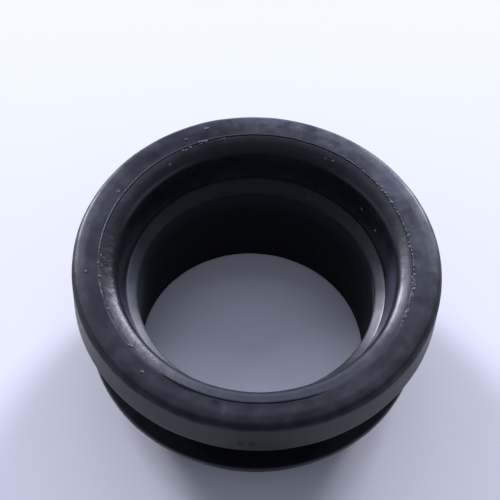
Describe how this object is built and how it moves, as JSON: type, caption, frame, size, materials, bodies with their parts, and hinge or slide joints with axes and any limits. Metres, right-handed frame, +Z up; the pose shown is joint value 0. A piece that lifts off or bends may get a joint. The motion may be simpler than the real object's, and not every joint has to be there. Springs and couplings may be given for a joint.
{
  "type": "tub gasket",
  "caption": "Round black rubber tub gasket with a funnel throat, a bore for a hose, and an outer groove between two flanges.",
  "frame": {"origin": "on the axis, in the plane of the nose's end, where the gasket stands", "axes": "+Z up along the axis, from the tapered nose to the upper flange; the gasket is round, so +X and +Y are free"},
  "size_m": [0.072, 0.072, 0.0333],
  "materials": {
    "black_rubber": "satin, as moulded"
  },
  "bodies": {
    "root": {"tub_gasket": "black_rubber"}
  },
  "joints": []
}
